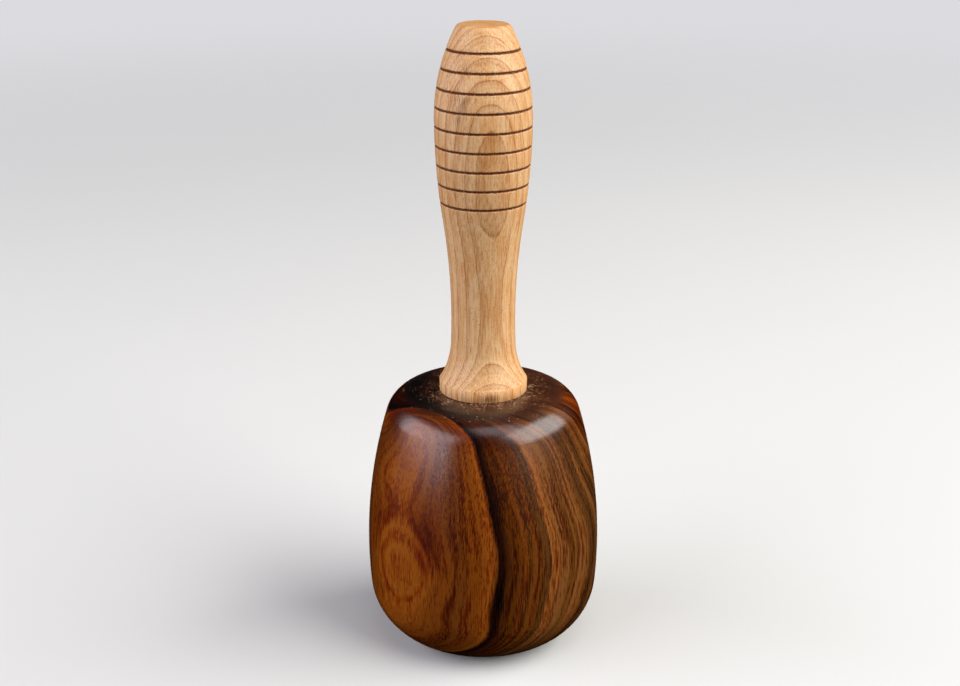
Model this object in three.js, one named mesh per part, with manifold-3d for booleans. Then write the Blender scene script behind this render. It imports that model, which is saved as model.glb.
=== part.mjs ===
// Carver's mallet: a round turned hardwood head on a turned maple handle.
//
// The handle's tenon runs right through the head. A wedge driven into a saw kerf in the tenon's
// end spreads it in the flared mouth of the mortise. Nothing on the mallet moves.
//
// Millimetres, +Z up the turning axis. The mallet stands on the nose of its head, and the origin
// is the centre of the nose face.

import * as THREE from 'three';
import { mergeVertices } from 'three/addons/utils/BufferGeometryUtils.js';
import Module from 'manifold-3d';

// Head
const HEAD_LENGTH = 99.6;
const HEAD_BELLY_RADIUS = 44;
const HEAD_BELLY_HEIGHT = 37.9;
const HEAD_CORNER_RADIUS = 33.5; // where the side curve would meet the plane of the top face
const TOP_FACE_RADIUS = 24.8;
const NOSE_FACE_RADIUS = 19;

// Grip of the handle, with heights above the top face of the head
const GRIP_LENGTH = 135.1;
const FOOT_RADIUS = 16.3;
const FOOT_BAND_HEIGHT = 4.6;
const COVE_RADIUS = 28.8;
const WAIST_RADIUS = 11.75;
const WAIST_HEIGHT = 28.3;
const BELLY_RADIUS = 17.5;
const BELLY_DROP = 32.9; // from the butt down to the thickest place of the grip
const BUTT_RADIUS = 9.3; // where the crown curve would meet the plane of the butt
const BUTT_EDGE_RADIUS = 1.9;

// Grooves round the grip
const GROOVE_COUNT = 9;
const GROOVE_PITCH = 6.87; // stepped off along the surface
const GROOVE_TOP_DROP = 8.5; // from the butt down to the first groove
const GROOVE_WIDTH = 1;
const GROOVE_DEPTH = 0.45;

// Tenon, mortise and wedge
const TENON_RADIUS = 11;
const KERF_DEPTH = 45;
const KERF_WIDTH = 1.6;
const TENON_SPREAD = 1.2; // how far the wedge pushes each half of the tenon out at the nose
const WEDGE_TIP_ROOM = 4; // empty end of the kerf beyond the tip of the wedge
const FIT_GAP = 0.3; // glue line between pieces that touch
const CUT_OVERRUN = 1; // how far a cutting shape stands past the face that it cuts

// Facets
const TURN_SEGMENTS = 48; // even, so that no vertex of a turned ring lies on x = 0
const CHORD_SAG = 0.1; // how far a chord may stand off its arc

// Finishes
const HEAD_FINISH = { color: 0x5c3626, roughness: 0.38, metalness: 0 };
const HANDLE_FINISH = { color: 0xdcb489, roughness: 0.55, metalness: 0 };
const WEDGE_FINISH = { color: 0x7a4a2c, roughness: 0.5, metalness: 0 };

const wasm = await Module();
wasm.setup();

// ---- Arcs in the (radius, height) plane ----

function point(radius, height) {
  return new THREE.Vector2(radius, height);
}

// The short arc about a centre between two of its points, as chords.
function arcPoints(centre, from, to) {
  const radius = centre.distanceTo(from);
  const start = from.clone().sub(centre).angle();
  const end = to.clone().sub(centre).angle();
  const sweep = Math.atan2(Math.sin(end - start), Math.cos(end - start));
  const widestStep = 2 * Math.acos(1 - Math.min(1, CHORD_SAG / radius));
  const steps = Math.ceil(Math.abs(sweep) / widestStep);
  const curve = new THREE.EllipseCurve(
    centre.x, centre.y, radius, radius, start, start + sweep, sweep < 0,
  );
  return curve.getPoints(steps);
}

// The point at a distance from an origin, on the ray through another point.
function alongRay(origin, through, distance) {
  return through.clone().sub(origin).setLength(distance).add(origin);
}

// Radius of an arc that leaves a height with a vertical tangent and gets narrower by fall over rise.
function arcRadius(rise, fall) {
  return (rise ** 2 + fall ** 2) / (2 * fall);
}

// Radius of the round that joins a circle to a flat face: faceOffset is how far the edge of the
// face lies from the circle's centre across the axis, and faceDistance along it.
function roundRadius(circleRadius, faceOffset, faceDistance) {
  const room = circleRadius ** 2 - faceOffset ** 2 - faceDistance ** 2;
  return room / (2 * (circleRadius - faceDistance));
}

// Of the two points where circles meet, the one further up.
function upperMeeting(centreA, radiusA, centreB, radiusB) {
  const across = centreB.clone().sub(centreA);
  const distance = across.length();
  const along = (radiusA ** 2 - radiusB ** 2 + distance ** 2) / (2 * distance);
  const offset = Math.sqrt(radiusA ** 2 - along ** 2);
  const foot = alongRay(centreA, centreB, along);
  const side = point(-across.y, across.x).setLength(offset);
  const up = side.y < 0 ? side.negate() : side;
  return foot.add(up);
}

// ---- Outline of the head ----

function headOutline() {
  const sideRise = HEAD_LENGTH - HEAD_BELLY_HEIGHT;
  const sideRadius = arcRadius(sideRise, HEAD_BELLY_RADIUS - HEAD_CORNER_RADIUS);
  const sideCentre = point(HEAD_BELLY_RADIUS - sideRadius, HEAD_BELLY_HEIGHT);

  const noseRadius = roundRadius(sideRadius, NOSE_FACE_RADIUS - sideCentre.x, HEAD_BELLY_HEIGHT);
  const noseCentre = point(NOSE_FACE_RADIUS, noseRadius);
  const noseEdge = point(NOSE_FACE_RADIUS, 0);
  const noseEnd = alongRay(sideCentre, noseCentre, sideRadius);

  const shoulderRadius = roundRadius(sideRadius, TOP_FACE_RADIUS - sideCentre.x, sideRise);
  const shoulderCentre = point(TOP_FACE_RADIUS, HEAD_LENGTH - shoulderRadius);
  const shoulderStart = alongRay(sideCentre, shoulderCentre, sideRadius);
  const topEdge = point(TOP_FACE_RADIUS, HEAD_LENGTH);

  return [
    point(0, 0),
    ...arcPoints(noseCentre, noseEdge, noseEnd),
    ...arcPoints(sideCentre, noseEnd, shoulderStart).slice(1),
    ...arcPoints(shoulderCentre, shoulderStart, topEdge).slice(1),
    point(0, HEAD_LENGTH),
  ];
}

// ---- Outline of the grip ----

// From the top of the foot band to the edge of the butt face, without the grooves.
function gripOutline() {
  const bellyHeight = GRIP_LENGTH - BELLY_DROP;
  const swell = BELLY_RADIUS - WAIST_RADIUS;
  const swellRadius = arcRadius((bellyHeight - WAIST_HEIGHT) / 2, swell / 2);
  const waistCentre = point(WAIST_RADIUS + swellRadius, WAIST_HEIGHT);
  const swellCentre = point(BELLY_RADIUS - swellRadius, bellyHeight);
  const swellMiddle = point(WAIST_RADIUS + swell / 2, (WAIST_HEIGHT + bellyHeight) / 2);

  const bandTop = point(FOOT_RADIUS, FOOT_BAND_HEIGHT);
  const coveCentre = upperMeeting(waistCentre, swellRadius - COVE_RADIUS, bandTop, COVE_RADIUS);
  const coveEnd = alongRay(waistCentre, coveCentre, swellRadius);

  const belly = point(BELLY_RADIUS, bellyHeight);
  const crownRadius = arcRadius(BELLY_DROP, BELLY_RADIUS - BUTT_RADIUS);
  const crownCentre = point(BELLY_RADIUS - crownRadius, bellyHeight);
  const edgeHeight = BELLY_DROP - BUTT_EDGE_RADIUS;
  const edgeReach = Math.sqrt((crownRadius - BUTT_EDGE_RADIUS) ** 2 - edgeHeight ** 2);
  const edgeCentre = point(crownCentre.x + edgeReach, bellyHeight + edgeHeight);
  const crownEnd = alongRay(crownCentre, edgeCentre, crownRadius);
  const buttEdge = point(edgeCentre.x, GRIP_LENGTH);

  return [
    ...arcPoints(coveCentre, bandTop, coveEnd),
    ...arcPoints(waistCentre, coveEnd, swellMiddle).slice(1),
    ...arcPoints(swellCentre, swellMiddle, belly).slice(1),
    ...arcPoints(crownCentre, belly, crownEnd).slice(1),
    ...arcPoints(edgeCentre, crownEnd, buttEdge).slice(1),
  ];
}

// Radius of an outline at a height between its ends.
function radiusAt(outline, height) {
  const above = outline.findIndex((corner) => corner.y >= height);
  const low = outline[above - 1];
  const high = outline[above];
  const share = (height - low.y) / (high.y - low.y);
  return THREE.MathUtils.lerp(low.x, high.x, share);
}

// Heights of the grooves, stepped off down the surface from the butt.
function grooveHeights(outline) {
  const heights = [GRIP_LENGTH - GROOVE_TOP_DROP];
  while (heights.length < GROOVE_COUNT) {
    const height = heights.at(-1);
    const run = radiusAt(outline, height) - radiusAt(outline, height - GROOVE_PITCH);
    heights.push(height - GROOVE_PITCH / Math.hypot(1, run / GROOVE_PITCH));
  }
  return heights;
}

// The outline with a V cut into it at each groove.
function withGrooves(outline) {
  const heights = grooveHeights(outline);
  const isClear = (corner) => heights.every((height) => Math.abs(corner.y - height) > GROOVE_WIDTH);
  const cuts = heights.flatMap((height) => [
    point(radiusAt(outline, height - GROOVE_WIDTH / 2), height - GROOVE_WIDTH / 2),
    point(radiusAt(outline, height) - GROOVE_DEPTH, height),
    point(radiusAt(outline, height + GROOVE_WIDTH / 2), height + GROOVE_WIDTH / 2),
  ]);
  return [...outline.filter(isClear), ...cuts].sort((a, b) => a.y - b.y);
}

// ---- Solids ----

// A closed shape turned about the Z axis, with its rings half a segment off the X and Y axes.
function turned(outline) {
  const geometry = new THREE.LatheGeometry(outline, TURN_SEGMENTS, Math.PI / TURN_SEGMENTS);
  geometry.rotateX(Math.PI / 2);
  return geometry;
}

// Half the thickness that the wedge opens at a height, on one side of the kerf's middle.
function opening(height) {
  return (TENON_SPREAD * Math.max(0, KERF_DEPTH - height)) / KERF_DEPTH;
}

// Pushes the two halves of a turned shape apart below the root of the kerf.
function spread(geometry) {
  const position = geometry.getAttribute('position');
  for (let i = 0; i < position.count; i += 1) {
    const x = position.getX(i);
    position.setX(i, x + Math.sign(x) * opening(position.getZ(i)));
  }
  return geometry;
}

// A slab across the tenon whose two faces follow the opened kerf, moved in by an inset.
function taperedSlab(bottom, top, inset, width) {
  const halfThickness = (height) => KERF_WIDTH / 2 + opening(height) - inset;
  const shape = new THREE.Shape([
    point(-halfThickness(bottom), bottom),
    point(halfThickness(bottom), bottom),
    point(halfThickness(top), top),
    point(-halfThickness(top), top),
  ]);
  const geometry = new THREE.ExtrudeGeometry(shape, { depth: width, bevelEnabled: false });
  geometry.translate(0, 0, -width / 2);
  geometry.rotateX(Math.PI / 2);
  return geometry;
}

function toSolid(geometry) {
  const bare = geometry.clone();
  bare.deleteAttribute('normal');
  bare.deleteAttribute('uv');
  const merged = mergeVertices(bare);
  return new wasm.Manifold(new wasm.Mesh({
    numProp: 3,
    vertProperties: Float32Array.from(merged.getAttribute('position').array),
    triVerts: Uint32Array.from(merged.getIndex().array),
  }));
}

function toGeometry(solid) {
  const mesh = solid.getMesh();
  const geometry = new THREE.BufferGeometry();
  geometry.setAttribute('position', new THREE.BufferAttribute(mesh.vertProperties, mesh.numProp));
  geometry.setIndex(new THREE.BufferAttribute(mesh.triVerts, 1));
  geometry.computeVertexNormals();
  return geometry;
}

function cut(geometry, cutter) {
  return toGeometry(toSolid(geometry).subtract(toSolid(cutter)));
}

// ---- Pieces ----

function malletHead() {
  const mortiseRadius = TENON_RADIUS + FIT_GAP;
  const mortise = spread(turned([
    point(0, -CUT_OVERRUN),
    point(mortiseRadius, -CUT_OVERRUN),
    point(mortiseRadius, KERF_DEPTH),
    point(mortiseRadius, HEAD_LENGTH + CUT_OVERRUN),
    point(0, HEAD_LENGTH + CUT_OVERRUN),
  ]));
  return cut(turned(headOutline()), mortise);
}

function handle() {
  const grip = withGrooves(gripOutline());
  const outline = [
    point(0, 0),
    point(TENON_RADIUS, 0),
    point(TENON_RADIUS, KERF_DEPTH),
    point(TENON_RADIUS, HEAD_LENGTH + FIT_GAP),
    point(FOOT_RADIUS, HEAD_LENGTH + FIT_GAP),
    ...grip.map((corner) => point(corner.x, HEAD_LENGTH + corner.y)),
    point(0, HEAD_LENGTH + GRIP_LENGTH),
  ];
  const kerf = taperedSlab(-CUT_OVERRUN, KERF_DEPTH, 0, 2 * (TENON_RADIUS + CUT_OVERRUN));
  return cut(spread(turned(outline)), kerf);
}

function tenonWedge() {
  return taperedSlab(0, KERF_DEPTH - WEDGE_TIP_ROOM, FIT_GAP, 2 * TENON_RADIUS);
}

function piece(name, geometry, finish) {
  const mesh = new THREE.Mesh(geometry, new THREE.MeshStandardMaterial(finish));
  mesh.name = name;
  return mesh;
}

const mallet = new THREE.Group();
mallet.add(piece('mallet_head', malletHead(), HEAD_FINISH));
mallet.add(piece('handle', handle(), HANDLE_FINISH));
mallet.add(piece('tenon_wedge', tenonWedge(), WEDGE_FINISH));

export default mallet;
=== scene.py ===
"""Carving mallet: a turned rosewood head on a turned maple handle, locked by a wedge.

Laid out as an add-on: property groups hold the sizes and colours, one operator makes each piece,
one makes the stage, and a panel in the sidebar lists them. Everything is in metres, with +Z up
the turning axis and the origin at the centre of the nose face that the mallet stands on.
"""

import math

import bpy
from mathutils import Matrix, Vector


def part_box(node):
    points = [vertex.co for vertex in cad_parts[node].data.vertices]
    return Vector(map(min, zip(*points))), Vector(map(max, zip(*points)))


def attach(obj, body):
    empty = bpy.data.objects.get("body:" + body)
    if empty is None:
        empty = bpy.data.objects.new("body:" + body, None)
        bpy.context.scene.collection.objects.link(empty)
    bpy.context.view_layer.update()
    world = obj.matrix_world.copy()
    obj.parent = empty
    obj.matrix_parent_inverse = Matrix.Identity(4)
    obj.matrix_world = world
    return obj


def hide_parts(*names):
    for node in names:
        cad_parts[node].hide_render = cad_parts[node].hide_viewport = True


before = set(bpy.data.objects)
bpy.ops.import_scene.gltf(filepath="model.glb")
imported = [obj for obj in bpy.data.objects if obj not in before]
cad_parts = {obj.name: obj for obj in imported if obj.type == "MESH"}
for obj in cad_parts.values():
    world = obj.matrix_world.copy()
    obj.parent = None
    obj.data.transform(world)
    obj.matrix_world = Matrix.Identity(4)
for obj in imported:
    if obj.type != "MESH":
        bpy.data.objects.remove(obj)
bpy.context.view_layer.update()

bl_info = {
    "name": "Carving mallet",
    "version": (1, 0, 0),
    "blender": (4, 5, 0),
    "location": "3D View > Sidebar > Mallet",
    "description": "Makes a turned carving mallet with solid wood grain",
    "category": "Object",
}

MM = 0.001
BODY = "root"

HEAD_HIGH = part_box("mallet_head")[1]
HANDLE_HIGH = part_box("handle")[1]
WEDGE_LOW, WEDGE_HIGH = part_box("tenon_wedge")


# ---- Sizes and colours that a user would change ----


def length(name, description, default):
    """A distance property, in metres."""
    return bpy.props.FloatProperty(
        name=name, description=description, default=default, min=0.0, unit="LENGTH",
        subtype="DISTANCE", precision=4,
    )


def linear(code):
    """A colour given as an sRGB hex code, turned to linear RGB."""
    parts = [int(code[i:i + 2], 16) / 255 for i in (1, 3, 5)]
    return tuple(c / 12.92 if c <= 0.04045 else ((c + 0.055) / 1.055) ** 2.4 for c in parts)


def colour(name, description, code):
    """A colour property, with its default given as an sRGB hex code."""
    return bpy.props.FloatVectorProperty(
        name=name, description=description, default=linear(code), min=0.0, max=1.0, size=3,
        subtype="COLOR",
    )


class MalletHeadSizes(bpy.types.PropertyGroup):
    length: length("Length", "Height of the head along the axis", HEAD_HIGH.z)
    belly_radius: length("Belly radius", "Radius at the thickest place", 44 * MM)
    belly_height: length("Belly height", "Thickest place above the nose", 37.9 * MM)
    corner_radius: length("Corner radius", "Where the side would meet the top plane", 33.5 * MM)
    top_face_radius: length("Top face radius", "Flat face round the handle's foot", 24.8 * MM)
    nose_face_radius: length("Nose face radius", "Flat face the mallet stands on", 19 * MM)


class MalletHandleSizes(bpy.types.PropertyGroup):
    grip_length: length("Grip length", "From the head's top face to the butt", HANDLE_HIGH.z - HEAD_HIGH.z)
    foot_radius: length("Foot radius", "Flange that seats on the head", 16.3 * MM)
    foot_band: length("Foot band", "Height of the flange's straight side", 4.6 * MM)
    cove_radius: length("Cove radius", "Hollow between foot and waist", 28.8 * MM)
    waist_radius: length("Waist radius", "Thinnest place of the grip", 11.75 * MM)
    waist_height: length("Waist height", "Thinnest place above the head", 28.3 * MM)
    belly_radius: length("Belly radius", "Thickest place of the grip", 17.5 * MM)
    belly_drop: length("Belly drop", "From the butt down to the thickest place", 32.9 * MM)
    butt_radius: length("Butt radius", "Where the crown would meet the butt plane", 9.3 * MM)
    butt_edge: length("Butt edge", "Round of the butt's edge", 1.9 * MM)
    arris: length("Arris", "Softening of the foot's sharp edges", 0.25 * MM)


class MalletGrooveSizes(bpy.types.PropertyGroup):
    count: bpy.props.IntProperty(
        name="Count", description="Burned grooves round the grip", default=9, min=0, max=20)
    pitch: length("Pitch", "Step between grooves along the surface", 6.87 * MM)
    top_drop: length("Top drop", "From the butt down to the first groove", 8.5 * MM)
    width: length("Width", "Across the mouth of a groove", 1.0 * MM)
    depth: length("Depth", "From the surface to the bottom of a groove", 0.45 * MM)


class MalletJointSizes(bpy.types.PropertyGroup):
    tenon_radius: length("Tenon radius", "Round tenon through the head", 11 * MM)
    glue_line: length("Glue line", "Clearance between pieces that touch", 0.06 * MM)
    kerf_depth: length("Kerf depth", "Saw cut up into the tenon", 45 * MM)
    kerf_width: length("Kerf width", "Thickness of the saw cut", 1.6 * MM)
    opening: length("Opening", "How far each tenon half is pushed out at the nose", 1.2 * MM)


class MalletColours(bpy.types.PropertyGroup):
    maple: colour("Maple", "Pale wood of the handle", "#E0B17C")
    maple_line: colour("Maple ring line", "Late wood line of a growth ring", "#B87E48")
    # The burn colour is the char in the grooves, and it also paints shade on their upper walls.
    burn_and_shade: colour("Burn", "Charred bottom of a groove", "#5E2A04")
    wedge: colour("Wedge", "End grain of the wedge", "#7A4A2C")
    floor: colour("Floor", "Pale studio floor", "#DADAD8")


# ---- Outlines in the (radius, height) plane ----


def arc(centre, start, end, chord):
    """Points on the short arc about centre from start to end, about a chord apart."""
    radius = (start - centre).length
    first = math.atan2(start.y - centre.y, start.x - centre.x)
    last = math.atan2(end.y - centre.y, end.x - centre.x)
    sweep = math.remainder(last - first, 2 * math.pi)
    steps = max(2, math.ceil(abs(sweep) * radius / chord))
    turns = [first + sweep * i / steps for i in range(steps + 1)]
    return [centre + radius * Vector((math.cos(a), math.sin(a))) for a in turns]


def along_ray(origin, through, distance):
    """The point at a distance from origin, towards another point."""
    return origin + (through - origin).normalized() * distance


def arc_radius(rise, fall):
    """Radius of an arc that starts parallel to the axis and falls by fall over rise."""
    return (rise ** 2 + fall ** 2) / (2 * fall)


def round_radius(circle_radius, face_offset, face_distance):
    """Radius of the round that joins a circle to the edge of a flat face."""
    room = circle_radius ** 2 - face_offset ** 2 - face_distance ** 2
    return room / (2 * (circle_radius - face_distance))


def upper_meeting(centre_a, radius_a, centre_b, radius_b):
    """Of the two points where circles meet, the one further up."""
    across = centre_b - centre_a
    distance = across.length
    along = (radius_a ** 2 - radius_b ** 2 + distance ** 2) / (2 * distance)
    side = Vector((-across.y, across.x)).normalized() * math.sqrt(radius_a ** 2 - along ** 2)
    up = -side if side.y < 0 else side
    return along_ray(centre_a, centre_b, along) + up


# Longest straight step along a curve, and along a small round.
CHORD = 0.9 * MM
FINE_CHORD = CHORD / 3


def head_outline(head):
    """The outside of the head, from the edge of the nose face to the edge of the top face."""
    rise = head.length - head.belly_height
    side_radius = arc_radius(rise, head.belly_radius - head.corner_radius)
    side = Vector((head.belly_radius - side_radius, head.belly_height))
    nose_round = round_radius(side_radius, head.nose_face_radius - side.x, head.belly_height)
    nose = Vector((head.nose_face_radius, nose_round))
    shoulder_round = round_radius(side_radius, head.top_face_radius - side.x, rise)
    shoulder = Vector((head.top_face_radius, head.length - shoulder_round))
    side_start = along_ray(side, nose, side_radius)
    side_end = along_ray(side, shoulder, side_radius)
    return [
        *arc(nose, Vector((head.nose_face_radius, 0)), side_start, CHORD),
        *arc(side, side_start, side_end, CHORD)[1:],
        *arc(shoulder, side_end, Vector((head.top_face_radius, head.length)), CHORD)[1:],
    ]


def grip_outline(handle, base):
    """The grip above a base height, from the top of the foot's band to the edge of the butt."""
    belly_height = handle.grip_length - handle.belly_drop
    swell = handle.belly_radius - handle.waist_radius
    swell_radius = arc_radius((belly_height - handle.waist_height) / 2, swell / 2)
    waist = Vector((handle.waist_radius + swell_radius, handle.waist_height))
    hip = Vector((handle.belly_radius - swell_radius, belly_height))
    middle = (waist + hip) / 2
    band_top = Vector((handle.foot_radius - handle.arris, handle.foot_band))
    cove = upper_meeting(waist, swell_radius - handle.cove_radius, band_top, handle.cove_radius)
    cove_end = along_ray(waist, cove, swell_radius)

    belly = Vector((handle.belly_radius, belly_height))
    crown_radius = arc_radius(handle.belly_drop, handle.belly_radius - handle.butt_radius)
    crown = Vector((handle.belly_radius - crown_radius, belly_height))
    edge_rise = handle.belly_drop - handle.butt_edge
    edge_reach = math.sqrt((crown_radius - handle.butt_edge) ** 2 - edge_rise ** 2)
    edge = crown + Vector((edge_reach, edge_rise))
    crown_end = along_ray(crown, edge, crown_radius)
    points = [
        *arc(cove, band_top, cove_end, CHORD),
        *arc(waist, cove_end, middle, CHORD)[1:],
        *arc(hip, middle, belly, CHORD)[1:],
        *arc(crown, belly, crown_end, CHORD)[1:],
        *arc(edge, crown_end, Vector((edge.x, handle.grip_length)), FINE_CHORD)[1:],
    ]
    return [point + Vector((0, base)) for point in points]


def radius_at(outline, height):
    """Radius of a rising outline at a height between its ends."""
    above = next(i for i, point in enumerate(outline) if point.y >= height)
    low, high = outline[above - 1], outline[above]
    share = (height - low.y) / (high.y - low.y)
    return low.x + (high.x - low.x) * share


def groove_heights(outline, groove):
    """Heights of the grooves, stepped off down the surface from the butt."""
    heights = [outline[-1].y - groove.top_drop]
    while len(heights) < groove.count:
        height = heights[-1]
        run = radius_at(outline, height) - radius_at(outline, height - groove.pitch)
        heights.append(height - groove.pitch / math.hypot(1, run / groove.pitch))
    return heights


# Shape of one groove: how far across from its middle, in half widths, how deep, as a share of
# the depth, and how charred. It is charred right across. The char lies heavier on the upper wall
# than on the lower and fades out above the groove: partly real scorch, partly painted shade of
# the upper wall, which faces down while the lower wall is lit.
GROOVE_SHAPE = (
    (-1.3, 0.0, 0.0),
    (-1.0, 0.03, 0.0),
    (-0.75, 0.2, 0.4),
    (-0.45, 0.55, 0.9),
    (-0.1, 0.95, 1.0),
    (0.25, 1.0, 1.0),
    (0.6, 0.75, 1.0),
    (0.9, 0.2, 0.85),
    (1.1, 0.03, 0.5),
    (1.7, 0.0, 0.2),
    (2.4, 0.0, 0.0),
)
# Points of the plain outline nearer than this to a groove's middle give way, in groove widths.
GROOVE_CLEAR = 1.25


def with_grooves(outline, groove):
    """The outline as (radius, height, burn) with every groove cut into it; burn is the char, with painted
    shade on each groove's upper wall.
    """
    heights = groove_heights(outline, groove)
    clear = GROOVE_CLEAR * groove.width
    kept = [
        (point.x, point.y, 0.0) for point in outline
        if all(abs(point.y - height) > clear for height in heights)
    ]
    cuts = []
    for height in heights:
        # The third value is the char, with painted shade on the upper wall.
        for across, depth, burn_and_shade in GROOVE_SHAPE:
            level = height + across * groove.width / 2
            cuts.append((radius_at(outline, level) - depth * groove.depth, level, burn_and_shade))
    return sorted(kept + cuts, key=lambda corner: corner[1])


# ---- Meshes ----

# Points nearer than this are one, and an edge turning more than this stays sharp.
MERGE = 0.001 * MM
SHARP_EDGE = math.radians(50)
HEAD_SEGMENTS = 192
HANDLE_SEGMENTS = 128


def outline_object(name, corners):
    """A chain of vertices in the XZ plane, with what each one carries as attributes.

    A corner is (radius, height, burn, opens): burn is how charred the surface is there, together
    with painted shade on a groove's upper wall, and opens is 1 where the wedge pushes it outwards.
    """
    mesh = bpy.data.meshes.new(name)
    vertices = [(radius, 0.0, height) for radius, height, _, _ in corners]
    edges = [(i, i + 1) for i in range(len(corners) - 1)]
    mesh.from_pydata(vertices, edges, [])
    steps = [math.dist(a[:2], b[:2]) for a, b in zip(corners, corners[1:])]
    travelled = [sum(steps[:i]) / sum(steps) for i in range(len(corners))]
    for label, values in (
        ("burn_and_shade", [corner[2] for corner in corners]),
        ("opens", [corner[3] for corner in corners]),
        ("along", travelled),
    ):
        mesh.attributes.new(label, "FLOAT", "POINT").data.foreach_set("value", values)
    shell = bpy.data.objects.new(name, mesh)
    bpy.context.scene.collection.objects.link(shell)
    return shell


def add_node(tree, kind, inputs=None, **settings):
    """Adds a node: settings are its properties, and inputs are its sockets' values or links.

    A link is given as the socket it comes from, or as a node, whose first output is then meant.
    """
    node = tree.nodes.new(kind)
    for name, value in settings.items():
        setattr(node, name, value)
    for key, value in (inputs or {}).items():
        if isinstance(value, bpy.types.Node):
            value = value.outputs[0]
        if isinstance(value, bpy.types.NodeSocket):
            tree.links.new(value, node.inputs[key])
        else:
            node.inputs[key].default_value = value
    return node


def new_tree(name, sockets):
    """An empty geometry tree with a mesh in and out and named inputs, given as (name, kind)."""
    tree = bpy.data.node_groups.new(name, "GeometryNodeTree")
    tree.interface.new_socket("Geometry", in_out="OUTPUT", socket_type="NodeSocketGeometry")
    tree.interface.new_socket("Geometry", in_out="INPUT", socket_type="NodeSocketGeometry")
    for label, kind in sockets:
        tree.interface.new_socket(label, in_out="INPUT", socket_type="NodeSocket" + kind)
    return tree, add_node(tree, "NodeGroupInput").outputs


def opening_field(tree, inputs):
    """How far the wedge has pushed the wood aside at a point, along X."""
    position = add_node(tree, "GeometryNodeInputPosition")
    place = add_node(tree, "ShaderNodeSeparateXYZ", {0: position}).outputs
    below = add_node(tree, "ShaderNodeMath", {0: inputs["Kerf Depth"], 1: place["Z"]}, operation="SUBTRACT")
    share = add_node(tree, "ShaderNodeMath", {0: below, 1: inputs["Kerf Depth"]}, operation="DIVIDE")
    share = add_node(tree, "ShaderNodeMath", {0: share, 1: 0.0}, operation="MAXIMUM")
    side = add_node(tree, "ShaderNodeMath", {0: place["X"]}, operation="SIGN")
    push = add_node(tree, "ShaderNodeMath", {0: share, 1: side}, operation="MULTIPLY")
    return add_node(tree, "ShaderNodeMath", {0: push, 1: inputs["Opening"]}, operation="MULTIPLY")


def with_baking_map(tree, grid, outline, count):
    """The grid with a map for baking, which runs round the axis and along the outline."""
    last_row = add_node(tree, "ShaderNodeMath", {0: count, 1: 1.0}, operation="SUBTRACT")
    flat = add_node(tree, "ShaderNodeSeparateXYZ", {0: grid["UV Map"]}).outputs
    row = add_node(tree, "ShaderNodeMath", {0: flat["Y"], 1: last_row}, operation="MULTIPLY")
    row = add_node(tree, "ShaderNodeMath", {0: row}, operation="ROUND")
    along = add_node(tree, "GeometryNodeInputNamedAttribute", {"Name": "along"}, data_type="FLOAT")
    height = add_node(tree, "GeometryNodeSampleIndex", {
        "Geometry": outline, "Value": along, "Index": row}, data_type="FLOAT")
    place = add_node(tree, "ShaderNodeCombineXYZ", {0: flat["X"], 1: height})
    return add_node(tree, "GeometryNodeStoreNamedAttribute", {
        "Geometry": grid["Mesh"], "Name": "OFBake", "Value": place}, data_type="FLOAT2", domain="CORNER")


def with_marks(tree, shell, outline, row):
    """The grid with the marks that the outline carries, spread round each row."""
    for label in ("burn_and_shade", "opens"):
        mark = add_node(tree, "GeometryNodeInputNamedAttribute", {"Name": label}, data_type="FLOAT")
        value = add_node(tree, "GeometryNodeSampleIndex", {
            "Geometry": outline, "Value": mark, "Index": row}, data_type="FLOAT")
        shell = add_node(tree, "GeometryNodeStoreNamedAttribute", {
            "Geometry": shell, "Name": label, "Value": value}, data_type="FLOAT", domain="POINT")
    return shell


def turned_tree():
    """A tree that turns an outline about the Z axis into a closed body."""
    tree, inputs = new_tree("Turned body", (
        ("Segments", "Int"), ("Kerf Depth", "Float"), ("Opening", "Float"), ("Material", "Material"),
    ))
    outline = inputs["Geometry"]
    size = add_node(tree, "GeometryNodeAttributeDomainSize", {"Geometry": outline})
    count = size.outputs["Point Count"]
    columns = add_node(tree, "ShaderNodeMath", {0: inputs["Segments"], 1: 1.0}, operation="ADD")
    grid = add_node(tree, "GeometryNodeMeshGrid", {
        "Size X": 1.0, "Size Y": 1.0, "Vertices X": columns, "Vertices Y": count}).outputs

    # A grid's vertices run up one column after the other: a row is a point of the outline.
    index = add_node(tree, "GeometryNodeInputIndex")
    row = add_node(tree, "ShaderNodeMath", {0: index, 1: count}, operation="MODULO")
    column = add_node(tree, "ShaderNodeMath", {0: index, 1: count}, operation="DIVIDE")
    column = add_node(tree, "ShaderNodeMath", {0: column}, operation="FLOOR")
    middle = add_node(tree, "ShaderNodeMath", {0: column, 1: 0.5}, operation="ADD")
    share = add_node(tree, "ShaderNodeMath", {0: middle, 1: inputs["Segments"]}, operation="DIVIDE")
    angle = add_node(tree, "ShaderNodeMath", {0: share, 1: 2 * math.pi}, operation="MULTIPLY")

    shell = with_baking_map(tree, grid, outline, count)
    shell = with_marks(tree, shell, outline, row)
    position = add_node(tree, "GeometryNodeInputPosition")
    corner = add_node(tree, "GeometryNodeSampleIndex", {
        "Geometry": outline, "Value": position, "Index": row}, data_type="FLOAT_VECTOR")
    turned = add_node(tree, "ShaderNodeVectorRotate", {"Vector": corner, "Angle": angle},
                      rotation_type="Z_AXIS")
    shell = add_node(tree, "GeometryNodeSetPosition", {"Geometry": shell, "Position": turned})

    opens = add_node(tree, "GeometryNodeInputNamedAttribute", {"Name": "opens"}, data_type="FLOAT")
    push = add_node(tree, "ShaderNodeMath", {0: opening_field(tree, inputs), 1: opens}, operation="MULTIPLY")
    offset = add_node(tree, "ShaderNodeCombineXYZ", {0: push})
    shell = add_node(tree, "GeometryNodeSetPosition", {"Geometry": shell, "Offset": offset})
    shell = add_node(tree, "GeometryNodeMergeByDistance", {"Geometry": shell, "Distance": MERGE})
    finish_tree(tree, shell, inputs["Material"])
    return tree


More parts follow.
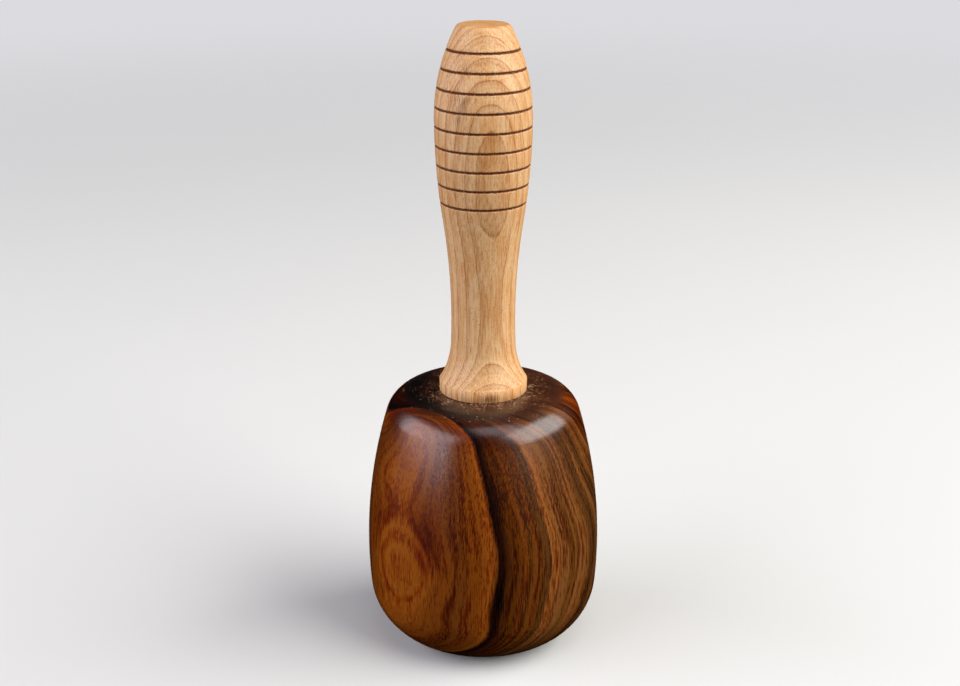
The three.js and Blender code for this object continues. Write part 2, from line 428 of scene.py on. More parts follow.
def sawn_tree():
    """A tree that saws the opened kerf across the tenon's end."""
    tree, inputs = new_tree("Sawn kerf", (
        ("Kerf Depth", "Float"), ("Kerf Width", "Float"), ("Opening", "Float"),
        ("Overrun", "Float"), ("Across", "Float"), ("Material", "Material"),
    ))
    tall = add_node(tree, "ShaderNodeMath", {0: inputs["Kerf Depth"], 1: inputs["Overrun"]}, operation="ADD")
    size = add_node(tree, "ShaderNodeCombineXYZ", {
        0: inputs["Kerf Width"], 1: inputs["Across"], 2: tall})
    blade = add_node(tree, "GeometryNodeMeshCube", {"Size": size})
    middle = add_node(tree, "ShaderNodeMath", {0: inputs["Kerf Depth"], 1: inputs["Overrun"]},
                      operation="SUBTRACT")
    middle = add_node(tree, "ShaderNodeMath", {0: middle, 1: 0.5}, operation="MULTIPLY")
    lift = add_node(tree, "ShaderNodeCombineXYZ", {2: middle})
    blade = add_node(tree, "GeometryNodeSetPosition", {"Geometry": blade, "Offset": lift})
    taper = add_node(tree, "ShaderNodeCombineXYZ", {0: opening_field(tree, inputs)})
    blade = add_node(tree, "GeometryNodeSetPosition", {"Geometry": blade, "Offset": taper})
    sawn = add_node(tree, "GeometryNodeMeshBoolean", {"Mesh 1": inputs["Geometry"], "Mesh 2": blade},
                    operation="DIFFERENCE", solver="EXACT")
    finish_tree(tree, sawn, inputs["Material"])
    return tree


def finish_tree(tree, shell, material):
    """Shades the body smooth with its sharp edges kept, and ends the tree."""
    shell = add_node(tree, "GeometryNodeSetShadeSmooth", {"Geometry": shell, "Shade Smooth": True})
    turn = add_node(tree, "GeometryNodeInputMeshEdgeAngle").outputs["Unsigned Angle"]
    gentle = add_node(tree, "FunctionNodeCompare", {0: turn, 1: SHARP_EDGE}, operation="LESS_THAN",
                      data_type="FLOAT")
    shell = add_node(tree, "GeometryNodeSetShadeSmooth", {"Geometry": shell, "Shade Smooth": gentle},
                     domain="EDGE")
    shell = add_node(tree, "GeometryNodeRealizeInstances", {"Geometry": shell})
    shell = add_node(tree, "GeometryNodeSetMaterial", {"Geometry": shell, "Material": material})
    add_node(tree, "NodeGroupOutput", {0: shell})


def run_tree(shell, tree, values):
    """Puts a tree on an object with its inputs set, and turns the result into a plain mesh."""
    modifier = shell.modifiers.new(tree.name, "NODES")
    modifier.node_group = tree
    for socket in tree.interface.items_tree:
        if socket.in_out == "INPUT" and socket.name in values:
            modifier[socket.identifier] = values[socket.name]
    shell.update_tag()
    graph = bpy.context.evaluated_depsgraph_get()
    plain = bpy.data.meshes.new_from_object(shell.evaluated_get(graph))
    shell.modifiers.remove(modifier)
    old = shell.data
    shell.data = plain
    plain.name = shell.name
    bpy.data.meshes.remove(old)


def hand_over(piece, node):
    """Parents a finished piece to the body's empty and hides the CAD part that it stands for."""
    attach(piece, BODY)
    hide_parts(node)


# ---- Solid wood ----

# The sockets of a Mix node that mixes colours: its two colours, and its result.
MIX_A, MIX_B, MIX_OUT = 6, 7, 2


def new_material(name):
    """An empty node material and its tree."""
    material = bpy.data.materials.new(name)
    material.use_nodes = True
    material.node_tree.nodes.clear()
    return material, material.node_tree


def millimetres(tree):
    """The point on the piece in millimetres, in the shared frame."""
    place = add_node(tree, "ShaderNodeTexCoord").outputs["Object"]
    return add_node(tree, "ShaderNodeVectorMath", {0: place, "Scale": 1 / MM}, operation="SCALE")


def grain(tree, place, across, along, detail=2.0, roughness=0.5):
    """A pattern that swings about zero, its grains across mm wide and along mm tall."""
    shape = add_node(tree, "ShaderNodeMapping", {
        "Vector": place, "Scale": (1 / across, 1 / across, 1 / along)})
    return add_node(tree, "ShaderNodeTexNoise", {
        "Vector": shape, "Scale": 1.0, "Detail": detail, "Roughness": roughness}, normalize=False)


def layered(tree, base, *layers):
    """A base value with patterns added to it, each given with its strength."""
    for pattern, strength in layers:
        base = add_node(tree, "ShaderNodeMath", {0: pattern, 1: strength, 2: base},
                        operation="MULTIPLY_ADD")
    return base


def nearness(tree, place, spot, wide, tall):
    """How near a point lies to a spot: 1 on it, fading softly over a width and a height in mm."""
    near = add_node(tree, "ShaderNodeVectorMath", {0: place, 1: spot}, operation="SUBTRACT")
    near = add_node(tree, "ShaderNodeVectorMath", {0: near, 1: (1 / wide, 1 / wide, 1 / tall)},
                    operation="MULTIPLY")
    square = add_node(tree, "ShaderNodeVectorMath", {0: near, 1: near}, operation="DOT_PRODUCT")
    fade = add_node(tree, "ShaderNodeMath", {0: square.outputs["Value"], 1: -0.5}, operation="MULTIPLY")
    return add_node(tree, "ShaderNodeMath", {0: fade}, operation="EXPONENT")


def ring_distance(tree, place, pith, bulges=()):
    """Distance in millimetres from the tree's bent pith, swelling where knots lie hidden.

    pith is a middle height, a reach, and then the pith's (x, y) as the factors of 1, t, t squared
    and so on, with t the height above the middle over the reach. A bulge is its centre, how wide
    and how tall it spreads, and how far the rings swell there.
    """
    middle, reach, *factors = pith
    height = add_node(tree, "ShaderNodeSeparateXYZ", {0: place}).outputs["Z"]
    t = add_node(tree, "ShaderNodeMath", {0: height, 1: 1 / reach, 2: -middle / reach},
                 operation="MULTIPLY_ADD")
    centre = (*factors[-1], 0)
    for factor in reversed(factors[:-1]):
        centre = add_node(tree, "ShaderNodeVectorMath", {0: centre, 1: t, 2: (*factor, 0)},
                          operation="MULTIPLY_ADD")
    level = add_node(tree, "ShaderNodeVectorMath", {0: place, 1: (1, 1, 0)}, operation="MULTIPLY")
    away = add_node(tree, "ShaderNodeVectorMath", {0: level, 1: centre}, operation="SUBTRACT")
    distance = add_node(tree, "ShaderNodeVectorMath", {0: away}, operation="LENGTH").outputs["Value"]
    for spot, wide, tall, rise in bulges:
        distance = layered(tree, distance, (nearness(tree, place, spot, wide, tall), rise))
    return distance


def band_colours(tree, distance, bands):
    """The colour of each growth ring, from bands given as (distance, colour), outermost first.

    Inside the innermost band the colours come again in the opposite order.
    """
    outer, inner = bands[0][0], bands[-1][0]
    depth = add_node(tree, "ShaderNodeMath", {0: outer, 1: distance}, operation="SUBTRACT")
    depth = add_node(tree, "ShaderNodeMath", {0: depth, 1: outer - inner}, operation="PINGPONG")
    share = add_node(tree, "ShaderNodeMath", {0: depth, 1: outer - inner}, operation="DIVIDE")
    ramp = add_node(tree, "ShaderNodeValToRGB", {0: share})
    stops = ramp.color_ramp.elements
    while len(stops) < len(bands):
        stops.new(1.0)
    for stop, (radius, code) in zip(stops, bands):
        stop.position = (outer - radius) / (outer - inner)
        stop.color = (*linear(code), 1.0)
    return ramp


def flatness(tree):
    """How flat the surface lies, from 0 on a wall to 1 on a level face: 1 shows end grain."""
    normal = add_node(tree, "ShaderNodeTexCoord").outputs["Normal"]
    tilt = add_node(tree, "ShaderNodeSeparateXYZ", {0: normal}).outputs["Z"]
    return add_node(tree, "ShaderNodeMath", {0: tilt}, operation="ABSOLUTE")


# Tones of the rosewood, from the black line in it to its bright outer wood.
BLACK = "#1C0602"
SOOT = "#341402"
UMBER = "#532602"
DUN = "#4E2C0E"
BROWN = "#5A310A"
SIENNA = "#6C3408"
RUSSET = "#7A3A06"
FAWN = "#75451C"
TAN = "#8A5020"
AMBER = "#944C0E"
# Where each tone lies, by distance from the pith in millimetres, outermost first.
ROSEWOOD_BANDS = (
    # Outer wood, orange with red-brown rings.
    (59.8, AMBER), (58.4, AMBER), (57.7, RUSSET), (57.0, RUSSET), (56.2, SIENNA), (55.6, SIENNA),
    (54.8, RUSSET), (54.3, RUSSET), (53.5, AMBER),
    # The black line that parts it from the inner wood.
    (53.25, SIENNA), (53.05, BLACK), (52.75, BLACK), (52.35, SOOT),
    # Dark brown wood with sienna streaks.
    (51.95, UMBER), (51.3, UMBER), (50.6, SIENNA), (50.0, BROWN), (49.5, SIENNA), (48.7, BROWN),
    (48.0, DUN),
    # The tan stripe, and the streaked heart inside it.
    (47.7, TAN), (47.1, TAN), (46.3, FAWN), (45.5, FAWN), (44.7, BROWN), (43.5, FAWN), (41.7, FAWN),
    (40.6, DUN), (39.3, DUN), (38.0, FAWN),
)
# The bend of its pith and the bulges in its rings, as ring_distance takes them.
ROSEWOOD_PITH = (50.0, 50.0, (9.6, 9.4), (4.3, 3.2), (14.0, 1.3), (0.5, -5.5))
ROSEWOOD_BULGES = (
    ((-30.0, -32.2, 41.0), 15.7, 11.2, 3.0),
    ((25.4, -25.4, 92.0), 13.8, 12.6, 4.9),
    ((-27.4, -5.0, 93.2), 10.8, 10.1, -10.0),
)
# Darker places in it: where each one is in millimetres, how wide and tall, and how much darker.
ROSEWOOD_SHADES = (
    ((4.0, -34.0, 97.0), 9.0, 4.0, 0.6),
    ((-21.0, -38.0, 56.0), 3.5, 8.0, 0.35),
    ((-25.0, -2.0, 100.0), 11.0, 3.5, 0.5),
    ((-33.0, -12.0, 96.0), 7.0, 4.0, 0.6),
    ((32.0, -8.0, 93.0), 9.0, 6.0, 0.3),
)
# Its end grain drinks the oil, so it is darker, and most so in the outer wood.
ROSEWOOD_END = (
    (60.0, "#120704"), (47.5, "#1E0E08"), (44.5, "#42200E"), (34.0, "#442310"), (22.0, "#4A2611"),
    (5.0, "#40200F"),
)
PORE = "#140804"
# Dust: its colour, the millimetres from the axis over which it thins, and where its height starts.
DUST = "#A58566"
DUST_THICK = 17.0
DUST_THIN = 26.0
DUST_HEIGHT = 98.0


def rosewood_side(tree, distance, lines, fibres, cloud, shades):
    """Colour of the sides: bands that lines, fibres and shades darken and hardly ever lighten."""
    wood = band_colours(tree, distance, ROSEWOOD_BANDS)
    depth = layered(tree, 1.03, (lines, 0.6), (fibres, 0.6), (cloud, 0.2))
    depth = add_node(tree, "ShaderNodeMath", {0: depth, 1: 0.92}, operation="MAXIMUM")
    depth = layered(tree, depth, *shades)
    return add_node(tree, "ShaderNodeGamma", {"Color": wood, "Gamma": depth})


def rosewood_end(tree, place, distance, lines, cloud, shades):
    """Colour of the end grain on the level faces: duller, and stippled with cut pores."""
    wood = band_colours(tree, distance, ROSEWOOD_END)
    specks = grain(tree, place, 0.5, 0.5)
    depth = layered(tree, 1.0, (lines, 0.2), (specks, 0.25), (cloud, 0.15), *shades)
    return add_node(tree, "ShaderNodeGamma", {"Color": wood, "Gamma": depth})


def sanding_dust(tree, place, height, reach):
    """How much dust lies at a point: specks on the top face, thickest round the handle's foot."""
    corner = add_node(tree, "ShaderNodeMapRange", {
        "Value": reach, "From Min": DUST_THICK, "From Max": DUST_THIN, "To Min": 0.32, "To Max": -0.1})
    grit = layered(tree, corner, (grain(tree, place, 0.7, 0.7, 1), 1.0), (grain(tree, place, 4, 4), 0.3))
    dust = add_node(tree, "ShaderNodeMapRange", {
        "Value": grit, "From Min": 0.58, "From Max": 0.66, "To Max": 0.8})
    top = add_node(tree, "ShaderNodeMath", {0: height, 1: DUST_HEIGHT}, operation="GREATER_THAN")
    return add_node(tree, "ShaderNodeMath", {0: dust, 1: top}, operation="MULTIPLY")


def rosewood():
    """Rosewood, turned, oiled and burnished: dark streaked bands, fine pores and a satin gloss."""
    material, tree = new_material("rosewood_turned_and_burnished")
    place = millimetres(tree)
    height = add_node(tree, "ShaderNodeSeparateXYZ", {0: place}).outputs["Z"]
    ring = ring_distance(tree, place, ROSEWOOD_PITH, ROSEWOOD_BULGES)
    distance = layered(tree, ring, (grain(tree, place, 16, 60), 0.18), (grain(tree, place, 1.2, 30, 3), 0.08))

    # Growth lines follow the rings, and fibres run up the grain.
    along_rings = add_node(tree, "ShaderNodeCombineXYZ", {0: distance, 2: height})
    lines = grain(tree, along_rings, 0.5, 40)
    fibres = grain(tree, place, 0.4, 7, 2, 0.6)
    cloud = grain(tree, place, 8, 20)
    shades = [
        (nearness(tree, place, spot, wide, tall), darker)
        for spot, wide, tall, darker in ROSEWOOD_SHADES
    ]
    side = rosewood_side(tree, distance, lines, fibres, cloud, shades)
    end = rosewood_end(tree, place, distance, lines, cloud, shades)

    # Pores are short dark dashes on the sides.
    pores = add_node(tree, "ShaderNodeMapRange", {
        "Value": grain(tree, place, 0.3, 3, 1), "From Min": 0.25, "From Max": 0.5, "To Max": 0.5})
    side = add_node(tree, "ShaderNodeMix", {
        0: pores, MIX_A: side, MIX_B: (*linear(PORE), 1)}, data_type="RGBA")
    to_end = add_node(tree, "ShaderNodeMapRange", {
        "Value": flatness(tree), "From Min": 0.8, "From Max": 0.995}, interpolation_type="SMOOTHSTEP")
    wood = add_node(tree, "ShaderNodeMix", {
        0: to_end, MIX_A: side.outputs[MIX_OUT], MIX_B: end}, data_type="RGBA")

    level = add_node(tree, "ShaderNodeVectorMath", {0: place, 1: (1, 1, 0)}, operation="MULTIPLY")
    reach = add_node(tree, "ShaderNodeVectorMath", {0: level}, operation="LENGTH").outputs["Value"]
    dust = sanding_dust(tree, place, height, reach)
    wood = add_node(tree, "ShaderNodeMix", {
        0: dust, MIX_A: wood.outputs[MIX_OUT], MIX_B: (*linear(DUST), 1)}, data_type="RGBA")

    # The lathe left faint rings, which show only in the shine.
    travel = add_node(tree, "ShaderNodeMath", {0: height, 1: reach}, operation="SUBTRACT")
    turning = add_node(tree, "ShaderNodeTexNoise", {"W": travel, "Scale": 1.8, "Detail": 2.0},
                       noise_dimensions="1D", normalize=False)
    relief = layered(tree, 0.0, (turning, 0.35), (fibres, 0.35), (pores, -0.8), (dust, 1.0))
    bump = add_node(tree, "ShaderNodeBump", {"Strength": 0.4, "Distance": 0.02 * MM, "Height": relief})
    roughness = layered(tree, 0.25, (fibres, 0.06), (cloud, 0.04), (to_end, 0.15))
    shader = add_node(tree, "ShaderNodeBsdfPrincipled", {
        "Base Color": wood.outputs[MIX_OUT], "Roughness": roughness, "IOR": 1.58, "Normal": bump})
    add_node(tree, "ShaderNodeOutputMaterial", {"Surface": shader})
    return material


# The bend of the maple's pith, as ring_distance takes it.
MAPLE_PITH = (167.0, 67.0, (-18.0, 84.2), (9.3, -3.1), (3.5, -2.4))
# Growth rings of the maple: each one's distance from the pith in millimetres, and its number.
MAPLE_RINGS = (
    (58.0, 0), (89.8, 11), (93.7, 12), (96.7, 13), (99.1, 14), (100.5, 15), (102.9, 16), (106.0, 17),
)
# How dark the wood is through one ring: a hard thin line, a brown zone behind it, then pale.
MAPLE_RING_TONES = ((0.0, 1.0), (0.05, 0.5), (0.25, 0.28), (0.6, 0.0), (0.95, 0.0), (1.0, 1.0))
# Brown spots in it: where each one is in millimetres, how wide, how tall and how brown.
MAPLE_STAINS = (
    ((-7.5, -15.0, 209.3), 1.8, 2.2, 0.55),
    ((-8.8, -14.5, 203.7), 1.0, 1.2, 0.55),
    ((-6.5, -14.0, 222.0), 1.0, 1.2, 0.5),
    ((2.3, -16.1, 101.4), 2.1, 1.3, 0.85),
)
STAIN = "#784824"
FLECK = "#8A5C38"
# Heights in millimetres between which the cove gives way to the foot's band.
BAND_BEGINS = 104.4
BAND_FULL = 103.8


def ring_numbers(tree, distance, rings):
    """The number of the growth ring at a distance from the pith, with the share through it."""
    (near, _), (far, last) = rings[0], rings[-1]
    share = add_node(tree, "ShaderNodeMapRange", {"Value": distance, "From Min": near, "From Max": far})
    counter = add_node(tree, "ShaderNodeFloatCurve", {"Value": share})
    points = counter.mapping.curves[0].points
    while len(points) < len(rings):
        points.new(0.5, 0.5)
    for point, (radius, number) in zip(points, rings):
        point.location = ((radius - near) / (far - near), number / last)
        point.handle_type = "VECTOR"
    counter.mapping.update()
    return add_node(tree, "ShaderNodeMath", {0: counter, 1: float(last)}, operation="MULTIPLY")


def maple_rings(tree, distance, colours):
    """Colour of the maple by its growth rings: pale wood with a thin line where each one ends."""
    phase = add_node(tree, "ShaderNodeMath", {0: ring_numbers(tree, distance, MAPLE_RINGS)},
                     operation="FRACT")
    tone = add_node(tree, "ShaderNodeValToRGB", {0: phase})
    stops = tone.color_ramp.elements
    while len(stops) < len(MAPLE_RING_TONES):
        stops.new(1.0)
    for stop, (at, grey) in zip(stops, MAPLE_RING_TONES):
        stop.position = at
        stop.color = (grey, grey, grey, 1)
    wood = add_node(tree, "ShaderNodeMix", {
        0: tone, MIX_A: (*colours.maple, 1), MIX_B: (*colours.maple_line, 1)}, data_type="RGBA")
    return wood.outputs[MIX_OUT]


def maple_marks(tree, place, wood, fibres):
    """The wood with its flecks, the stained cluster on the crown and the pin knot in the foot."""
    flecks = add_node(tree, "ShaderNodeMapRange", {
        "Value": grain(tree, place, 0.35, 3, 1), "From Min": 0.4, "From Max": 0.7, "To Max": 0.5})
    wood = add_node(tree, "ShaderNodeMix", {
        0: flecks, MIX_A: wood, MIX_B: (*linear(FLECK), 1)}, data_type="RGBA")
    for spot, wide, tall, browner in MAPLE_STAINS:
        stain = add_node(tree, "ShaderNodeMath", {
            0: nearness(tree, place, spot, wide, tall), 1: layered(tree, browner, (fibres, 0.8))},
            operation="MULTIPLY", use_clamp=True)
        wood = add_node(tree, "ShaderNodeMix", {
            0: stain, MIX_A: wood.outputs[MIX_OUT], MIX_B: (*linear(STAIN), 1)},
            data_type="RGBA")
    return wood.outputs[MIX_OUT]


def maple(colours):
    """Maple, turned, sanded and thinly oiled: pale and matt, with fine ring lines and flecks."""
    material, tree = new_material("maple_turned_and_oiled")
    place = millimetres(tree)
    height = add_node(tree, "ShaderNodeSeparateXYZ", {0: place}).outputs["Z"]
    ring = ring_distance(tree, place, MAPLE_PITH)
    distance = layered(tree, ring, (grain(tree, place, 14, 70), 0.5), (grain(tree, place, 0.8, 16), 0.07))
    wood = maple_rings(tree, distance, colours)

    # Fine lines follow the rings, and fibres run up the grain, most plainly at the foot's band.
    along_rings = add_node(tree, "ShaderNodeCombineXYZ", {0: distance, 2: height})
    lines = grain(tree, along_rings, 0.4, 30)
    fibres = grain(tree, place, 0.45, 8, 2, 0.6)
    cloud = grain(tree, place, 5, 14)
    band = add_node(tree, "ShaderNodeMapRange", {
        "Value": height, "From Min": BAND_BEGINS, "From Max": BAND_FULL})
    ticks = add_node(tree, "ShaderNodeMath", {0: fibres, 1: band}, operation="MULTIPLY")
    end = add_node(tree, "ShaderNodeMapRange", {
        "Value": flatness(tree), "From Min": 0.8, "From Max": 0.99, "To Max": 0.2})
    depth = layered(tree, 1.05, (lines, 0.25), (fibres, 0.45), (cloud, 0.25), (ticks, 0.3), (end, 1.0))
    depth = add_node(tree, "ShaderNodeMath", {0: depth, 1: 0.85}, operation="MAXIMUM")
    wood = add_node(tree, "ShaderNodeGamma", {"Color": wood, "Gamma": depth})
    wood = maple_marks(tree, place, wood, fibres)

    # The grooves are charred, with ragged edges. The char also paints shade: it lies heavier on each groove's
    # upper wall and fades out above it.
    burn_and_shade = add_node(tree, "ShaderNodeAttribute", attribute_name="burn_and_shade").outputs["Fac"]
    char_and_shade = layered(tree, burn_and_shade, (grain(tree, place, 0.6, 0.6), 0.45))
    char_and_shade = add_node(tree, "ShaderNodeMapRange", {"Value": char_and_shade, "From Min": 0.1, "From Max": 0.9})
    wood = add_node(tree, "ShaderNodeMix", {
        0: char_and_shade, MIX_A: wood, MIX_B: (*colours.burn_and_shade, 1)}, data_type="RGBA")

    relief = layered(tree, 0.0, (fibres, 0.7))
    bump = add_node(tree, "ShaderNodeBump", {"Strength": 0.4, "Distance": 0.03 * MM, "Height": relief})
    roughness = layered(tree, 0.52, (fibres, 0.12), (char_and_shade, 0.4))
    shader = add_node(tree, "ShaderNodeBsdfPrincipled", {
        "Base Color": wood.outputs[MIX_OUT], "Roughness": roughness, "IOR": 1.46, "Normal": bump})
    add_node(tree, "ShaderNodeOutputMaterial", {"Surface": shader})
    return material


def wedge_wood(colours):
    """Plain brown hardwood, sawn and cut off flush: end grain with small open pores."""
    material, tree = new_material("hardwood_wedge_cut_flush")
    place = millimetres(tree)
    fibres = grain(tree, place, 0.3, 6, 2, 0.6)
    depth = layered(tree, 1.0, (fibres, 0.5))
    wood = add_node(tree, "ShaderNodeGamma", {"Color": (*colours.wedge, 1), "Gamma": depth})
    bump = add_node(tree, "ShaderNodeBump", {"Strength": 0.3, "Distance": 0.03 * MM, "Height": fibres})
    shader = add_node(tree, "ShaderNodeBsdfPrincipled", {
        "Base Color": wood, "Roughness": 0.55, "IOR": 1.46, "Normal": bump})
    add_node(tree, "ShaderNodeOutputMaterial", {"Surface": shader})
    return material


WEDGE_ARRIS = 0.15 * MM


def wedge_mesh(joint):
    """A tapered slip with all its edges softened, built as rings of eight corners from the nose up."""
    levels = (
        (WEDGE_LOW.z, WEDGE_ARRIS), (WEDGE_LOW.z + WEDGE_ARRIS, 0.0),
        (WEDGE_HIGH.z - WEDGE_ARRIS, 0.0), (WEDGE_HIGH.z, WEDGE_ARRIS),
    )
    corners = []
    for height, inset in levels:
        spread = joint.opening * (joint.kerf_depth - height) / joint.kerf_depth
        half = joint.kerf_width / 2 - joint.glue_line + spread - inset
        end = WEDGE_HIGH.y - inset
        for side, front, flank_first in ((1, 1, True), (-1, 1, False), (-1, -1, True), (1, -1, False)):
            flank = (side * half, front * (end - WEDGE_ARRIS), height)
            tip = (side * (half - WEDGE_ARRIS), front * end, height)
            corners.extend((flank, tip) if flank_first else (tip, flank))
    ring = len(corners) // len(levels)
    last = len(corners) - ring
    faces = [tuple(reversed(range(ring))), tuple(range(last, len(corners)))]
    for start in range(0, last, ring):
        for turn in range(ring):
            here = start + turn
            after = start + (turn + 1) % ring
            faces.append((here, after, after + ring, here + ring))
    mesh = bpy.data.meshes.new("wedge")
    mesh.from_pydata(corners, [], faces)
    return mesh


# ---- Operators: one for each piece, and one for the stage ----


class MALLET_OT_head(bpy.types.Operator):
    """Turns the rosewood head with the flared mortise through it"""

    bl_idname = "mallet.head"
    bl_label = "Make the head"

    def execute(self, context):
        head = context.scene.mallet_head
        joint = context.scene.mallet_joint
        bore = joint.tenon_radius + joint.glue_line
        outside = [(point.x, point.y, 0.0, 0.0) for point in head_outline(head)]
        corners = [
            (bore, 0.0, 0.0, 1.0),
            *outside,
            (bore, head.length, 0.0, 1.0),
            (bore, joint.kerf_depth, 0.0, 1.0),
            (bore, 0.0, 0.0, 1.0),
        ]
        piece = outline_object("turned_head", corners)
        run_tree(piece, turned_tree(), {
            "Segments": HEAD_SEGMENTS, "Kerf Depth": joint.kerf_depth, "Opening": joint.opening,
            "Material": rosewood(),
        })
        hand_over(piece, "mallet_head")
        return {"FINISHED"}


# How far the saw's cut runs out past the tenon's end, and how wide it is in tenon radii.
SAW_OVERRUN = 1 * MM
SAW_ACROSS = 3


class MALLET_OT_handle(bpy.types.Operator):
    """Turns the maple handle with its grooves, and saws the kerf in its tenon"""

    bl_idname = "mallet.handle"
    bl_label = "Make the handle"

    def execute(self, context):
        handle = context.scene.mallet_handle
        joint = context.scene.mallet_joint
        base = context.scene.mallet_head.length
        grip = with_grooves(grip_outline(handle, base), context.scene.mallet_groove)
        seat = base + joint.glue_line
        band_top = base + handle.foot_band
        rim = handle.foot_radius
        corners = [
            (0.0, 0.0, 0.0, 1.0),
            (joint.tenon_radius, 0.0, 0.0, 1.0),
            (joint.tenon_radius, joint.kerf_depth, 0.0, 1.0),
            (joint.tenon_radius, seat, 0.0, 0.0),
            (rim - handle.arris, seat, 0.0, 0.0),
            (rim, seat + handle.arris, 0.0, 0.0),
            (rim, band_top - handle.arris, 0.0, 0.0),
            *((radius, height, burn_and_shade, 0.0) for radius, height, burn_and_shade in grip),
            (0.0, base + handle.grip_length, 0.0, 0.0),
        ]
        piece = outline_object("turned_handle", corners)
        material = maple(context.scene.mallet_colours)
        run_tree(piece, turned_tree(), {
            "Segments": HANDLE_SEGMENTS, "Kerf Depth": joint.kerf_depth, "Opening": joint.opening,
            "Material": material,
        })
        run_tree(piece, sawn_tree(), {
            "Kerf Depth": joint.kerf_depth, "Kerf Width": joint.kerf_width, "Opening": joint.opening,
            "Overrun": SAW_OVERRUN, "Across": SAW_ACROSS * joint.tenon_radius, "Material": material,
        })
        hand_over(piece, "handle")
        return {"FINISHED"}


class MALLET_OT_wedge(bpy.types.Operator):
    """Makes the wedge driven into the tenon's kerf, flush with the nose"""

    bl_idname = "mallet.wedge"
    bl_label = "Make the wedge"

    def execute(self, context):
        mesh = wedge_mesh(context.scene.mallet_joint)
        mesh.materials.append(wedge_wood(context.scene.mallet_colours))
        piece = bpy.data.objects.new("wedge", mesh)
        context.scene.collection.objects.link(piece)
        hand_over(piece, "tenon_wedge")
        return {"FINISHED"}


class MALLET_OT_stage(bpy.types.Operator):
    """Sets up the camera, the soft studio lights and the pale floor"""

    bl_idname = "mallet.stage"
    bl_label = "Set the stage"

    def execute(self, context):
        make_camera(context.scene)
        make_floor(context.scene)
        make_lights(context.scene)
        return {"FINISHED"}


# Where the camera stands, how far down it looks, and its lens and sensor in millimetres.
CAMERA_PLACE = Vector((-1.2, -558.1, 316.2)) * MM
CAMERA_PITCH = math.radians(19.6)
CAMERA_LENS = 60.0
CAMERA_SENSOR = 36.0


def make_camera(scene):
    """The camera looks a little down at the mallet from in front."""
    data = bpy.data.cameras.new("camera")
    data.sensor_width = CAMERA_SENSOR
    data.lens = CAMERA_LENS
    camera = bpy.data.objects.new("camera", data)
    camera.location = CAMERA_PLACE
    camera.rotation_euler = (math.radians(90) - CAMERA_PITCH, 0, 0)
    scene.collection.objects.link(camera)
    scene.camera = camera


# Half the floor's width, and how far from its middle it starts and ends fading out, in metres.
FLOOR_HALF = 3.0
FADE_START = 0.3
FADE_END = 1.7


def make_floor(scene):
    """A plain matt floor that fades out into the even background."""
    mesh = bpy.data.meshes.new("floor")
    signs = ((-1, -1), (1, -1), (1, 1), (-1, 1))
    corners = [(x * FLOOR_HALF, y * FLOOR_HALF, 0) for x, y in signs]
    mesh.from_pydata(corners, [], [(0, 1, 2, 3)])
    material, tree = new_material("matt_painted_floor")
    place = add_node(tree, "ShaderNodeTexCoord").outputs["Object"]
    mottle = add_node(tree, "ShaderNodeTexNoise", {"Vector": place, "Scale": 3.0}, normalize=False)
    depth = layered(tree, 1.0, (mottle, 0.04))
    tone = add_node(tree, "ShaderNodeGamma", {"Color": (*scene.mallet_colours.floor, 1), "Gamma": depth})
    paint = add_node(tree, "ShaderNodeBsdfPrincipled", {
        "Base Color": tone, "Roughness": 0.9, "Specular IOR Level": 0.2})
    clear = add_node(tree, "ShaderNodeBsdfTransparent")
    away = add_node(tree, "ShaderNodeVectorMath", {0: place}, operation="LENGTH").outputs["Value"]
    fade = add_node(tree, "ShaderNodeMapRange", {
        "Value": away, "From Min": FADE_START, "From Max": FADE_END}, interpolation_type="SMOOTHSTEP")
    surface = add_node(tree, "ShaderNodeMixShader", {0: fade, 1: paint, 2: clear})
    add_node(tree, "ShaderNodeOutputMaterial", {"Surface": surface})
    mesh.materials.append(material)
    floor = bpy.data.objects.new("floor", mesh)
    scene.collection.objects.link(floor)
    floor.visible_glossy = False
    floor.visible_diffuse = False


# Softboxes: name, degrees round from the front towards the right, degrees up, distance in metres,
# width and height in metres, power in watts, colour.
SOFTBOXES = (
    ("right_softbox", 76, 33, 2.0, 2.7, 1.6, 76.0, "#FFFDFA"),
    ("left_softbox", -74, 22, 2.0, 2.9, 1.6, 50.0, "#F6F4FF"),
    ("top_softbox", 30, 66, 2.0, 1.4, 1.0, 9.0, "#FFFFFF"),
)
AIM = Vector((0, 0, 0.1))
# The even surround: its colour, and its strength as light on the mallet and as the background seen.
SURROUND = "#FBFBFF"
SURROUND_LIGHT = 0.085
BACKGROUND = 0.74


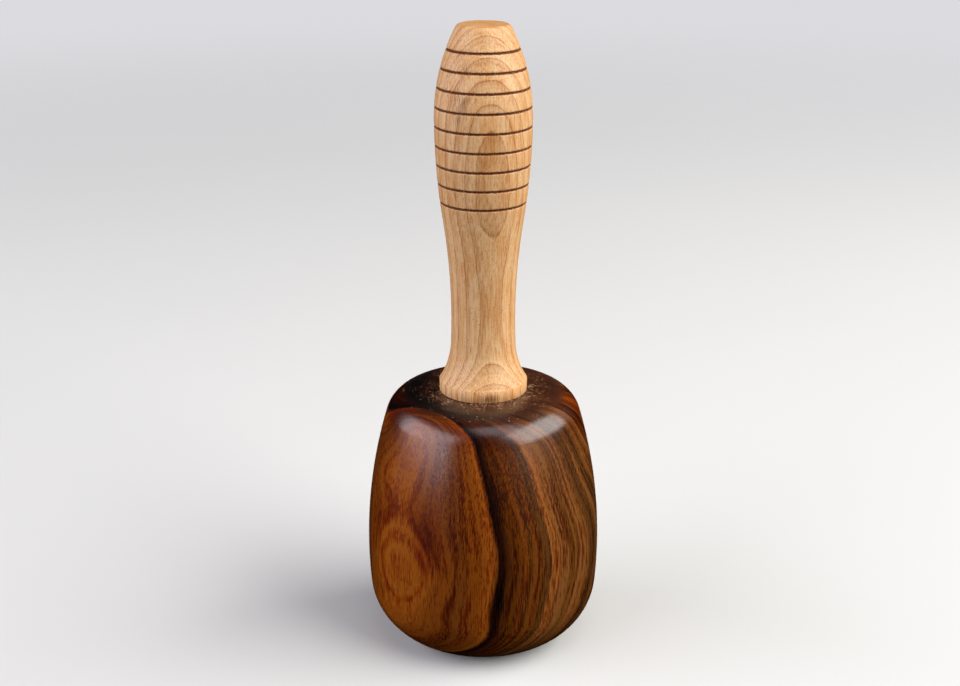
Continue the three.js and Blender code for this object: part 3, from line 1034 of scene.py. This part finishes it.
def make_lights(scene):
    """A softbox on either side and a small one above, and a dim even surround."""
    for name, turn, rise, distance, width, height, power, code in SOFTBOXES:
        turn, rise = math.radians(turn), math.radians(rise)
        way = Vector((math.sin(turn) * math.cos(rise), -math.cos(turn) * math.cos(rise), math.sin(rise)))
        data = bpy.data.lights.new(name, "AREA")
        data.shape = "RECTANGLE"
        data.size = width
        data.size_y = height
        data.energy = power
        data.color = linear(code)
        light = bpy.data.objects.new(name, data)
        light.location = AIM + way * distance
        light.rotation_euler = way.to_track_quat("Z", "Y").to_euler()
        scene.collection.objects.link(light)
    world = bpy.data.worlds.new("studio")
    world.use_nodes = True
    tree = world.node_tree
    tree.nodes.clear()
    seen = add_node(tree, "ShaderNodeLightPath").outputs["Is Camera Ray"]
    strength = add_node(tree, "ShaderNodeMapRange", {
        "Value": seen, "To Min": SURROUND_LIGHT, "To Max": BACKGROUND})
    surround = add_node(tree, "ShaderNodeBackground", {
        "Color": (*linear(SURROUND), 1), "Strength": strength})
    add_node(tree, "ShaderNodeOutputWorld", {"Surface": surround})
    scene.world = world
    world.cycles_visibility.glossy = False
    scene.view_settings.view_transform = "Standard"


class MALLET_PT_panel(bpy.types.Panel):
    """Lists the operators and the sizes"""

    bl_label = "Carving mallet"
    bl_idname = "MALLET_PT_panel"
    bl_space_type = "VIEW_3D"
    bl_region_type = "UI"
    bl_category = "Mallet"

    def draw(self, context):
        for operator in OPERATORS:
            self.layout.operator(operator.bl_idname)
        for name, group in GROUPS.items():
            box = self.layout.box()
            box.label(text=name.replace("_", " "))
            for key in group.__annotations__:
                box.prop(getattr(context.scene, name), key)


OPERATORS = (MALLET_OT_stage, MALLET_OT_head, MALLET_OT_handle, MALLET_OT_wedge)
GROUPS = {
    "mallet_head": MalletHeadSizes,
    "mallet_handle": MalletHandleSizes,
    "mallet_groove": MalletGrooveSizes,
    "mallet_joint": MalletJointSizes,
    "mallet_colours": MalletColours,
}


def register():
    """Registers the classes and puts the property groups on the scene."""
    for group in (*GROUPS.values(), *OPERATORS, MALLET_PT_panel):
        bpy.utils.register_class(group)
    for name, group in GROUPS.items():
        setattr(bpy.types.Scene, name, bpy.props.PointerProperty(type=group))


def unregister():
    """Takes everything off again, in the opposite order."""
    for name in reversed(GROUPS):
        delattr(bpy.types.Scene, name)
    for group in reversed((*GROUPS.values(), *OPERATORS, MALLET_PT_panel)):
        bpy.utils.unregister_class(group)


def main():
    """Makes the whole mallet."""
    register()
    bpy.ops.mallet.stage()
    bpy.ops.mallet.head()
    bpy.ops.mallet.handle()
    bpy.ops.mallet.wedge()


if __name__ == "__main__":
    main()
